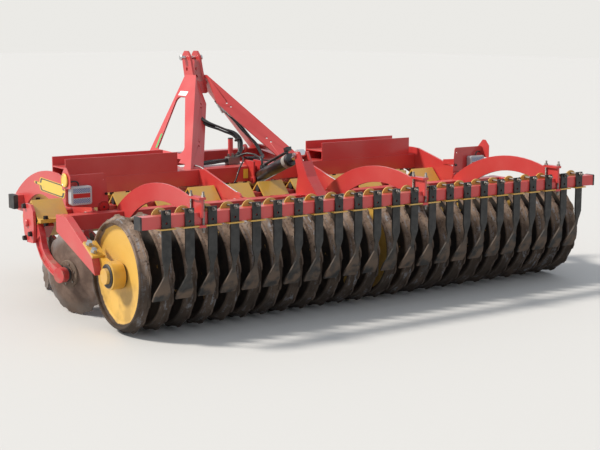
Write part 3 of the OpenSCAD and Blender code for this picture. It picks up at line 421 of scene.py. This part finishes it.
# Clamp bolts. Two black bolts with washers and nuts squeeze the lips of each yellow clamp, in
# front of the tube and behind it, and hold the rubber cords under load.
def bolt_tree(name):
    """A node tree that sets one bolt with washers and a nut on every point, along its turn."""
    tree = bpy.data.node_groups.new(name, "GeometryNodeTree")
    face = tree.interface
    face.new_socket("Geometry", in_out="INPUT", socket_type="NodeSocketGeometry")
    for label in ("Across flats", "Head height", "Shank", "Grip", "Tail"):
        face.new_socket(label, in_out="INPUT", socket_type="NodeSocketFloat")
    face.new_socket("Steel", in_out="INPUT", socket_type="NodeSocketMaterial")
    face.new_socket("Geometry", in_out="OUTPUT", socket_type="NodeSocketGeometry")
    start, end = tree.nodes.new("NodeGroupInput"), tree.nodes.new("NodeGroupOutput")

    def number(operation, first, second):
        node = tree.nodes.new("ShaderNodeMath")
        node.operation = operation
        for socket, value in zip(node.inputs, (first, second)):
            if isinstance(value, (int, float)):
                socket.default_value = value
            else:
                tree.links.new(value, socket)
        return node.outputs[0]

    def round_bar(sides, radius, depth, height):
        bar = tree.nodes.new("GeometryNodeMeshCylinder")
        bar.inputs["Vertices"].default_value = sides
        tree.links.new(radius, bar.inputs["Radius"])
        tree.links.new(depth, bar.inputs["Depth"])
        raised = tree.nodes.new("ShaderNodeCombineXYZ")
        tree.links.new(height, raised.inputs["Z"])
        move = tree.nodes.new("GeometryNodeTransform")
        tree.links.new(bar.outputs["Mesh"], move.inputs["Geometry"])
        tree.links.new(raised.outputs[0], move.inputs["Translation"])
        return move.outputs[0]

    flats, head, shank, grip, tail = (start.outputs[k] for k in range(1, 6))
    corner = number("DIVIDE", flats, math.sqrt(3))
    washer = number("MULTIPLY", flats, 0.62)
    thin = number("MULTIPLY", head, 0.3)
    half_head, half_thin = number("MULTIPLY", head, 0.5), number("MULTIPLY", thin, 0.5)
    length = number("ADD", number("ADD", grip, tail), head)
    below = number("MULTIPLY", grip, -1)
    parts = [
        round_bar(20, washer, thin, half_thin),
        round_bar(6, corner, head, number("ADD", thin, half_head)),
        round_bar(20, washer, thin, number("SUBTRACT", below, half_thin)),
        round_bar(6, corner, head, number("SUBTRACT", number("SUBTRACT", below, thin), half_head)),
        round_bar(12, number("MULTIPLY", shank, 0.5), length,
                  number("ADD", number("MULTIPLY", length, -0.5), half_head)),
    ]
    whole = tree.nodes.new("GeometryNodeJoinGeometry")
    for part in parts:
        tree.links.new(part, whole.inputs[0])
    place = tree.nodes.new("GeometryNodeInstanceOnPoints")
    turned = tree.nodes.new("GeometryNodeInputNamedAttribute")
    turned.data_type = "FLOAT_VECTOR"
    turned.inputs["Name"].default_value = "turn"
    tree.links.new(start.outputs[0], place.inputs["Points"])
    tree.links.new(whole.outputs[0], place.inputs["Instance"])
    tree.links.new(turned.outputs[0], place.inputs["Rotation"])
    real = tree.nodes.new("GeometryNodeRealizeInstances")
    coat = tree.nodes.new("GeometryNodeSetMaterial")
    tree.links.new(place.outputs[0], real.inputs[0])
    tree.links.new(real.outputs[0], coat.inputs["Geometry"])
    tree.links.new(start.outputs["Steel"], coat.inputs["Material"])
    tree.links.new(coat.outputs[0], end.inputs[0])
    return tree


def settle(name, source, material, body):
    """Turns an object with modifiers or a curve into a plain mesh that rides on a body."""
    bpy.context.view_layer.update()
    mesh = bpy.data.meshes.new_from_object(
        source.evaluated_get(bpy.context.evaluated_depsgraph_get())
    )
    bpy.data.objects.remove(source)
    piece = add(bpy.data.objects.new(name, mesh))
    if not mesh.materials:
        mesh.materials.append(material)
    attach(piece, body)
    return piece


bolt_nodes = bolt_tree("bolt_with_nut")


def bolts(name, spots, flats, grip, material, body, tail=6, up=(0, 0, 1)):
    """Bolts of one size at these points, heads towards up; sizes in millimetres."""
    mesh = bpy.data.meshes.new(name)
    mesh.from_pydata([tuple(spot) for spot in spots], [], [])
    turn_of = Vector(up).to_track_quat("Z", "Y").to_euler()
    layer = mesh.attributes.new("turn", "FLOAT_VECTOR", "POINT")
    for value in layer.data:
        value.vector = turn_of
    holder = add(bpy.data.objects.new(name + "_points", mesh))
    run = holder.modifiers.new("bolts", "NODES")
    run.node_group = bolt_nodes
    given = {"Across flats": flats, "Head height": flats * 0.55, "Shank": flats * 0.62,
             "Grip": grip, "Tail": tail}
    for item in bolt_nodes.interface.items_tree:
        if item.in_out == "INPUT" and item.name in given:
            run[item.identifier] = given[item.name] / 1000
        elif item.in_out == "INPUT" and item.name == "Steel":
            run[item.identifier] = material
    settle(name, holder, material, body)


rear_tube, front_tube = 855, 1560
clamp_pitch, outer_clamp, lip_reach, lip_height, bolt_spread = 241, 1452, 113.4, 490, 54
clamp_spots = []
inner = [(k - 5) * clamp_pitch for k in range(11)]
for tube_y, centres in ((rear_tube, inner + [-outer_clamp]), (front_tube, inner + [outer_clamp])):
    for centre in centres:
        for side in (-1, 1):
            for across in (-bolt_spread, bolt_spread):
                clamp_spots.append(at(centre + across, tube_y + side * lip_reach, lip_height))
bolts("clamp_bolts", clamp_spots, 24, 20, dark_bolt, "frame", tail=10)

# Bolts of the outer plates. The outermost disc arms hang on plates bolted to the tube ends,
# with black bolts round the tube and over the arm.
plates_low, plates_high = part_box("outer_brackets")
outer_faces = (("left", plates_low.x, rear_tube), ("right", plates_high.x, front_tube))
for hand, edge, tube_y in outer_faces:
    spots = [at(edge * 1000, tube_y + y, z) for y, z in ((37, 548), (39, 372), (-40, 404))]
    bolts(f"plate_bolts_{hand}", spots, 24, 15, dark_bolt, "frame",
          up=(math.copysign(1, edge), 0, 0))

# Packer bearings. Each cast housing lies under the foot of its side arm, held by two zinc
# plated bolts through its sloping flange.
both_hands = (("left", -1), ("right", 1))
slope = math.radians(28.1)
flange_up = (0, -math.sin(slope), math.cos(slope))
heel_y, heel_z, flange_t = 95, 382, 14
for hand, side in both_hands:
    spots = [at(side * 1520, heel_y + s * math.cos(slope) - flange_t * math.sin(slope),
                heel_z + s * math.sin(slope) + flange_t * math.cos(slope)) for s in (26, 88)]
    bolts(f"housing_bolts_{hand}", spots, 27, 20, zinc, "packer_frame", up=flange_up)

# Hoses. Rubber hoses with wire in their walls run from the tractor's side down the headstock's
# legs to the valve block on the main beam, bent no sharper than the wire allows.
def smooth_tube(name, points, width, material, body):
    """A round tube through these points, in millimetres."""
    line = bpy.data.curves.new(name, "CURVE")
    line.dimensions = "3D"
    line.resolution_u = 10
    line.bevel_depth = width / 2000
    line.bevel_resolution = 4
    line.use_fill_caps = True
    run = line.splines.new("BEZIER")
    run.bezier_points.add(len(points) - 1)
    for knot, point in zip(run.bezier_points, points):
        knot.co = at(*point)
        knot.handle_left_type = knot.handle_right_type = "AUTO"
    holder = add(bpy.data.objects.new(name + "_line", line))
    piece = settle(name, holder, material, body)
    for face in piece.data.polygons:
        face.use_smooth = True


hose_rubber = dull_black("hose_rubber", 0.012, 0.4, coat=0.15)
hose_width, cable_width = 14, 10
for k in range(4):
    across, rise = (k % 2) * 17 - 8, (k // 2) * 17 - 8
    smooth_tube(
        f"headstock_hose_{k + 1}",
        [(-40 + across, 1700, 1075 + rise), (-110, 1560, 985 + rise),
         (-137 + across, 1420, 915 + rise), (-40, 1345, 862 + rise),
         (32 + across, 1296, 822 + rise), (38 + across, 1252, 760 + rise),
         (-20, 1215 + rise, 702 + across / 2), (-170 - 20 * k, 1196 + rise, 678 + across / 2),
         (-330 - 20 * k, 1190 + rise, 668)],
        hose_width, hose_rubber, "frame")
for k, shift in enumerate((-9, 9)):
    smooth_tube(
        f"right_leg_hose_{k + 1}",
        [(150 + shift, 1745, 1020), (196 + shift, 1735, 965), (245 + shift, 1672, 896),
         (300 + shift, 1630, 815), (352, 1590 + shift, 745), (330, 1480 + shift, 688),
         (250, 1330 + shift, 672), (140, 1230 + shift, 676 + shift), (40, 1200 + shift, 690)],
        hose_width, hose_rubber, "frame")

# Cables. Thin cables run from the valve block along the beam and then, in grey wound sheaths,
# down each inner hinge plate's edge; one thinner hose drops behind the beam.
cable_sheath = bright_steel("cable_sheath", (0.34, 0.34, 0.34), 0.5, 0.3)
smooth_tube(
    "cable_left",
    [(-330, 1180, 668), (-362, 1166, 670), (-372, 1110, 674)],
    cable_width, hose_rubber, "frame")
smooth_tube(
    "cable_left_sheath",
    [(-372, 1110, 674), (-372, 1046, 669), (-372, 966, 647), (-372, 886, 627), (-372, 811, 609),
     (-372, 736, 591), (-372, 666, 574), (-372, 606, 560)],
    cable_width - 1, cable_sheath, "frame")
smooth_tube(
    "cable_right",
    [(60, 1190, 690), (200, 1150, 666), (300, 1120, 668), (356, 1090, 676), (372, 1046, 672)],
    cable_width, hose_rubber, "frame")
smooth_tube(
    "cable_right_sheath",
    [(372, 1046, 672), (372, 966, 649), (372, 886, 628), (372, 811, 610), (372, 736, 592),
     (372, 666, 575), (372, 606, 560)],
    cable_width - 1, cable_sheath, "frame")
smooth_tube(
    "drop_hose",
    [(30, 1270, 800), (12, 1236, 740), (-6, 1160, 700), (-60, 1070, 682), (-107, 1036, 640),
     (-140, 1018, 585), (-185, 1008, 520)],
    cable_width - 1, hose_rubber, "frame")

# Valve block. A small block of machined steel, gone dull, joins the hoses on the main beam; a
# zinc plated pipe leaves it to the left, and one more joint lies in the hoses on the right leg.
def lathe(name, profile, material, body, place, axis, sides=40, smooth=True):
    """A turned piece: (distance along the axis, radius) pairs in millimetres, from its place."""
    mesh = bpy.data.meshes.new(name)
    spin = Vector(axis).to_track_quat("Z", "Y").to_matrix().to_4x4()
    spin.translation = place
    points, faces = [], []
    for along, radius in profile:
        for k in range(sides):
            angle = 2 * math.pi * k / sides
            spot = Vector((radius * math.cos(angle), radius * math.sin(angle), along))
            points.append(spin @ (spot / 1000))
    for row in range(len(profile) - 1):
        for k in range(sides):
            a, b = row * sides + k, row * sides + (k + 1) % sides
            faces.append((a, b, b + sides, a + sides))
    faces.append(tuple(reversed(range(sides))))
    faces.append(tuple(range((len(profile) - 1) * sides, len(profile) * sides)))
    mesh.from_pydata(points, [], faces)
    mesh.validate()
    piece = add(bpy.data.objects.new(name, mesh))
    mesh.materials.append(material)
    for face in mesh.polygons:
        face.use_smooth = smooth and len(face.vertices) == 4
    mesh.set_sharp_from_angle(angle=math.radians(32))
    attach(piece, body)


def plate(name, outline, thickness, place, across, up, material, body, edge=0.8):
    """A flat piece: its outline (across, up) in millimetres, thickened behind its front face."""
    across, up = Vector(across).normalized(), Vector(up).normalized()
    out = across.cross(up)
    shape = bmesh.new()
    ring = [shape.verts.new(place + (across * a + up * b) / 1000) for a, b in outline]
    face = shape.faces.new(ring)
    pulled = bmesh.ops.extrude_face_region(shape, geom=[face])
    for item in pulled["geom"]:
        if isinstance(item, bmesh.types.BMVert):
            item.co -= out * thickness / 1000
    bmesh.ops.recalc_face_normals(shape, faces=shape.faces[:])
    if edge:
        bmesh.ops.bevel(shape, geom=shape.edges[:], offset=edge / 1000, segments=2, affect="EDGES",
                        profile=0.7, clamp_overlap=True)
    mesh = bpy.data.meshes.new(name)
    shape.to_mesh(mesh)
    shape.free()
    piece = add(bpy.data.objects.new(name, mesh))
    mesh.materials.append(material)
    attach(piece, body)


def oblong(width, height, radius, steps=6):
    """The outline of a rectangle with rounded corners, about its middle."""
    points = []
    for cx, cy, start in ((1, 1, 0), (-1, 1, 90), (-1, -1, 180), (1, -1, 270)):
        for k in range(steps + 1):
            angle = math.radians(start + 90 * k / steps)
            points.append((cx * (width / 2 - radius) + radius * math.cos(angle),
                           cy * (height / 2 - radius) + radius * math.sin(angle)))
    return points


right, up = (1, 0, 0), (0, 0, 1)
plate("valve_block", oblong(82, 46, 5), 50, at(-58, 1172, 680), right, up, old_steel, "frame",
      2)
for k, across in enumerate((-85, -55, -25)):
    lathe(f"valve_fitting_{k + 1}", [(0, 10), (8, 10), (8, 7), (16, 7), (16, 9), (20, 9)],
          old_steel, "frame", at(across, 1198, 702), up, sides=6, smooth=False)
smooth_tube(
    "valve_pipe",
    [(-100, 1196, 684), (-150, 1196, 684), (-240, 1196, 676), (-300, 1188, 668)],
    13, zinc, "frame")
lathe("hose_joint_1",
      [(0, 12), (6, 14), (34, 14), (34, 11), (44, 11), (44, 14), (76, 14), (82, 12)],
      zinc, "frame", at(198, 1732, 968), (0.55, -0.72, -0.75))

# Name plate, label and reflectors. The left side plate carries a yellow plate with pointed ends
# and a black line round its field, blank here; a plain white label is stuck to the headstock.
def plain_colour(name, colour, rough, coat=0.0):
    made = Finish(name)
    worn = made.noise(30, 5).between(0.55, 0.8) * 0.5
    return made.cover(worn.blend(colour, dust), rough + made.noise(80) * 0.1, coat=coat,
                      bump=made.noise(120), depth=0.0002)


plate_yellow = plain_colour("plate_yellow", (0.72, 0.48, 0.05), 0.35, 0.3)
plate_black = plain_colour("plate_black", (0.018, 0.018, 0.018), 0.35, 0.3)
white_label = plain_colour("white_label", (0.80, 0.80, 0.79), 0.45)
amber = plain_colour("amber_reflector", (0.82, 0.50, 0.06), 0.25, 0.5)
arrow = [(-258, 0), (-250, -7), (-180, -10), (-172, -32), (-158, -39), (158, -39), (172, -32),
         (180, -10), (250, -7), (258, 0), (250, 7), (180, 10), (172, 32), (158, 39), (-158, 39),
         (-172, 32), (-180, 10), (-250, 7)]
plate_face, plate_step, plate_tilt = 1319.2, 1.4, 0.033
for label, size, paint, slot in (("border", 1.0, plate_yellow, "clamp_yellow"),
                                 ("line", 0.95, plate_black, "black_paint"),
                                 ("field", 0.84, plate_yellow, "clamp_yellow")):
    plate(f"name_plate_{label}", [(a * size, b * (size - 0.5 + size / 2)) for a, b in arrow], 2,
          at(-plate_face - plate_step * (1.5 - size), 1088, 609), (0, -1, -plate_tilt),
          (0, -plate_tilt, 1), paint, "frame", 0)

# The left leg's outer face leans in from its foot on the beam's top.
leg_lean, leg_slope, leg_foot, beam_top = math.radians(35.2), 0.7054, 425, 655


def on_leg(ahead, height, proud=1.2):
    """A point just off the outer face of the headstock's left leg."""
    return at(-leg_foot + leg_slope * (height - beam_top) - proud, ahead, height)


plate("headstock_label", oblong(104, 34, 3), 0.8, on_leg(1700, 1080), (0, -1, 0),
      (math.sin(leg_lean), 0, math.cos(leg_lean)), white_label, "frame", 0)
reflector_x, reflector_z = 1471, 716
for name, side in (("amber_side_reflector", -1), ("amber_side_reflector_right", 1)):
    lathe(name, [(0, 37), (4, 37), (7, 33), (7, 30), (5, 28)], amber, "frame",
          at(side * reflector_x, 556, reflector_z), (side, 0, 0))
for hand, front_face in (("left", 4 - reflector_x), ("right", reflector_x)):
    plate(f"reflector_bracket_{hand}",
          [(-52, -52), (52, -40), (52, 20), (8, 66), (-18, 66), (-52, 30)], 4,
          at(front_face, 548, reflector_z), (0, math.copysign(1, front_face), 0), up, red_paint,
          "frame")
plate("beam_reflector", oblong(34, 58, 3), 3, at(-52, 1047, 610), right, up, plate_yellow, "frame",
      0.5)

# Depth cylinder's trim. A grey grooved gland and a black head close the barrel. A black pipe
# runs along its top from a block at the head to a port near the pin, and a hose feeds the other.
front_pin, rod_pin = Vector((5, 1010, 580)), Vector((5, 530, 770))
reach = (rod_pin - front_pin).normalized()
lift = Vector((0, reach.z, -reach.y))


def beside_barrel(s, h):
    """A point s mm along the barrel from its pin and h mm above its middle line."""
    return front_pin + reach * s + lift * h


def on_barrel(s, h=0):
    """The same point in the scene's own metres."""
    return at(*beside_barrel(s, h))


gland_grey = plain_colour("gland_grey", (0.36, 0.34, 0.30), 0.45)
lathe("cylinder_gland",
      [(0, 37), (1, 40), (9, 40), (10, 38), (12, 38), (13, 40.5), (22, 40.5), (23, 38), (25, 38),
       (26, 40.5), (34, 40.5), (35, 38)],
      gland_grey, "barrel", on_barrel(358), reach)
lathe("cylinder_head", [(0, 40.5), (16, 40.5), (24, 37), (28, 30), (28, 20)], barrel_black,
      "barrel", on_barrel(393), reach)
plate("head_block", oblong(36, 40, 5), 22, on_barrel(400, 56), right, tuple(reach), barrel_black,
      "barrel", 2)
smooth_tube(
    "cylinder_pipe",
    [beside_barrel(s, h) for s, h in ((388, 48), (372, 53), (340, 54), (240, 54), (150, 54),
                                      (132, 52))],
    18, barrel_black, "barrel")
lathe("pipe_nut", [(0, 13), (20, 13)], old_steel, "barrel", on_barrel(114, 52), reach,
      sides=6, smooth=False)
base_port, pipe_port, port_top = 84, 122, 60
for label, s in (("base", base_port), ("pipe", pipe_port)):
    lathe(f"port_{label}", [(30, 14), (48, 14), (52, 11), (port_top, 11)], barrel_black, "barrel",
          on_barrel(s), lift, sides=24)
hose_end = beside_barrel(base_port, port_top)
smooth_tube(
    "cylinder_hose",
    [(-30, 1190, 700), (10, 1150, 722), (30, 1090, 722), (16, 1020, 716), (8, 968, 706),
     tuple(hose_end + Vector((0, -6, 16))), tuple(hose_end - lift * 8)],
    13, hose_rubber, "frame")

# Post, eye and strip. A short round post with a black plug stands beside the valve block, an
# eye with a bolt through it is welded near the right leg, and a green strip marks the left leg.
post_z, post_h = beam_top, 158
lathe("hose_post", [(0, 16), (post_h, 16)], red_paint, "frame",
      at(-50, 1232, post_z), up)
lathe("post_plug", [(0, 17), (4, 17), (6, 15)], cap_plastic, "frame",
      at(-50, 1232, post_z + post_h), up)
eye_middle = at(284, 1600, 706)
lathe("tie_eye", [(-6, 26), (-5, 27), (5, 27), (6, 26)], red_paint, "frame",
      eye_middle, right)
lathe("tie_bolt", [(-14, 12), (14, 12)], zinc, "frame", eye_middle, right, sides=6,
      smooth=False)
strip_green = plain_colour("strip_green", (0.07, 0.42, 0.11), 0.45)
window_slope = 0.339
strip_up = (math.sin(leg_lean), window_slope, math.cos(leg_lean))
strip_across = (window_slope * math.sin(leg_lean), -1, window_slope * math.cos(leg_lean))
plate("leg_strip", oblong(18, 110, 3), 0.8, on_leg(1654, 784), strip_across, strip_up, strip_green,
      "frame", 0)

# Collars and couplings. The top link's pin is held by a collar at each end, the hoses down the
# right leg end in crimped couplings, and a strap gathers the loop of the headstock's hoses.
for hand, side in both_hands:
    lathe(f"top_pin_collar_{hand}", [(0, 18), (9, 18), (11, 15)], zinc, "frame",
          at(side * 70, 1816, 1308), (side, 0, 0))
for k, shift in enumerate((-9, 9)):
    lathe(f"leg_coupling_{k + 1}",
          [(0, 11), (4, 13), (30, 13), (30, 10), (38, 10), (38, 13), (66, 13), (70, 11)],
          zinc, "frame", at(172 + shift, 1744, 1000), (0.45, -0.25, -0.85))
lathe("loop_strap", [(-4, 23), (4, 23)], cap_plastic, "frame", at(34, 1280, 800),
      (0.1, -0.45, -0.9))

# Arm bosses. A turned boss with a centred hole stands on the outer face of each outer plate,
# where the outermost disc arm is held.
boss_lead = 13
for hand, edge, tube_y in outer_faces:
    lathe(f"arm_boss_{hand}", [(0, 21), (9, 21), (14, 15), (14, 9)], red_paint, "frame",
          at(edge * 1000, tube_y + boss_lead, 458), (math.copysign(1, edge), 0, 0))

# Seals, caps and washers. A black seal and a chipped yellow cap close each packer bearing, and
# a washer lies at both sides of each lug on the packer's hinge pins.
chipped = Finish("chipped_yellow")
flakes = chipped.noise(38, 6, rough=0.7).between(0.52, 0.56)
chipped_yellow = chipped.cover(flakes.blend((0.62, 0.36, 0.06), (0.05, 0.042, 0.036)),
                               0.4 + flakes * 0.3, bump=1 - flakes, depth=0.0008)
hinge_y, hinge_z, lug_half = 610, 505, 21
for hand, side in both_hands:
    lathe(f"bearing_seal_{hand}", [(0, 60), (4, 60), (7, 56), (7, 42), (3, 42)], cap_plastic,
          "packer_frame", at(side * 1500, 0, shaft_height), (side, 0, 0))
    lathe(f"bearing_cap_{hand}", [(0, 30), (6, 30), (9, 26)], chipped_yellow, "packer_frame",
          at(side * 1512, 0, shaft_height), (side, 0, 0))
    for label, middle in (("outer", 1310.5), ("inner", 375)):
        for end in (-1, 1):
            spot = at(side * middle + end * lug_half, hinge_y, hinge_z)
            lathe(f"hinge_washer_{label}_{hand}_{'in' if end < 0 else 'out'}",
                  [(0, 27), (4, 27), (5, 26)], zinc, "packer_frame", spot,
                  (end, 0, 0))

# Disc hubs. Each disc is bolted between its sealed hub and a ring flange, all brown with earth,
# and a black rubber seal closes the gap to the arm's boss.
hub_brown = plain_colour("earthy_hub", (0.13, 0.088, 0.06), 0.7)
disc_dish, bolt_circle, bolt_seat, hub_bolts, first_bolt = 0.045, 0.055, 0.006, 6, 0.3
for name, middle, side in disc_places:
    axis = Vector((side * math.cos(disc_yaw), math.sin(disc_yaw), 0))
    apex = middle - axis * disc_dish
    lathe(f"flange_of_{name}", [(-9, 50), (-9, 69), (-6, 73), (3, 74)], hub_brown, name,
          apex, axis)
    away = axis.cross(Vector(up))
    ring = []
    for k in range(hub_bolts):
        angle = first_bolt + 2 * math.pi * k / hub_bolts
        outward = away * math.cos(angle) + Vector(up) * math.sin(angle)
        ring.append(apex - axis * bolt_seat + outward * bolt_circle)
    bolts(f"bolts_of_{name}", ring, 10, 16, old_steel, name, 5, -axis)
    lathe(f"seal_of_{name}", [(-30, 31), (-30, 41), (-20, 43), (-18, 40)], cap_plastic, "frame",
          apex, axis)

# Lamps and reflectors. Each board carries one moulded lamp with a clear lens and a red band, a
# round red reflector, and a smaller amber one that stands up at its side.
lamp_x, lamp_z, lamp_back = 1.393, 0.633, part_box("lamps")[0].y
lens = Finish("lamp_lens")
rear_face = 1 - lens.y.between(lamp_back + 0.003, lamp_back + 0.006)
beside = abs(abs(lens.x) - lamp_x)
above = abs(lens.z - lamp_z)
field = rear_face * (1 - beside.between(0.0475, 0.0495)) * (1 - above.between(0.0385, 0.0405))
red_band = field * (1 - above.between(0.0112, 0.0124))
clear = field * above.between(0.0152, 0.0164)
ribs = (abs(lens.x) * 620).math("SINE") * (lens.z * 620).math("SINE")
# Painted highlights: the clear fields are coloured from dark blue to pale blue along the ribs,
# standing in for highlights in the lens.
painted_lens_highlights = (ribs * 0.5 + 0.5).between(0.3, 0.9).blend((0.05, 0.08, 0.16), (0.50, 0.58, 0.72))
lens_with_painted_highlights = clear.blend((0.42, 0.43, 0.43), painted_lens_highlights)
lens_with_painted_highlights = red_band.blend(lens_with_painted_highlights, (0.46, 0.016, 0.018))
ribbed = ribs * (field - red_band * 0.8)
moulded = lens.cover(lens_with_painted_highlights, 0.32 - field * 0.18, coat=0.5, bump=ribbed, depth=0.0009)
dress("lamps", moulded, 0.011, 4)
round_x, round_z = 1.250, 0.558
red_glass = Finish("red_reflector")
off_x, off_z = abs(red_glass.x) - round_x, red_glass.z - round_z
from_middle = (off_x * off_x + off_z * off_z).math("POWER", 0.5)
cells = (red_glass.x * 900).math("SINE") * (red_glass.z * 900).math("SINE")
dark = (1 - from_middle.between(0.0055, 0.0065)) | from_middle.between(0.0245, 0.0255) * 0.5
dark = dark * (1 - from_middle.between(0.0290, 0.0300) * 0.6)
dress("reflectors", red_glass.cover(dark.blend((0.46, 0.018, 0.016), (0.05, 0.008, 0.008)),
                                    0.18 + cells * 0.04, coat=0.5, bump=cells, depth=0.0005), 0.002)
for hand, side in both_hands:
    bolts(f"board_bolts_{hand}", [at(side * 1236, 554, 629), at(side * 1230, 554, 537)], 12, 12,
          dark_bolt, "frame", 3, (0, -1, 0))
    smooth_tube(
        f"lamp_lead_{hand}",
        [(side * 1448, 556, 700), (side * 1428, 548, 708), (side * 1404, 545, 702),
         (side * 1398, 546, 680)],
        8, hose_rubber, "frame")
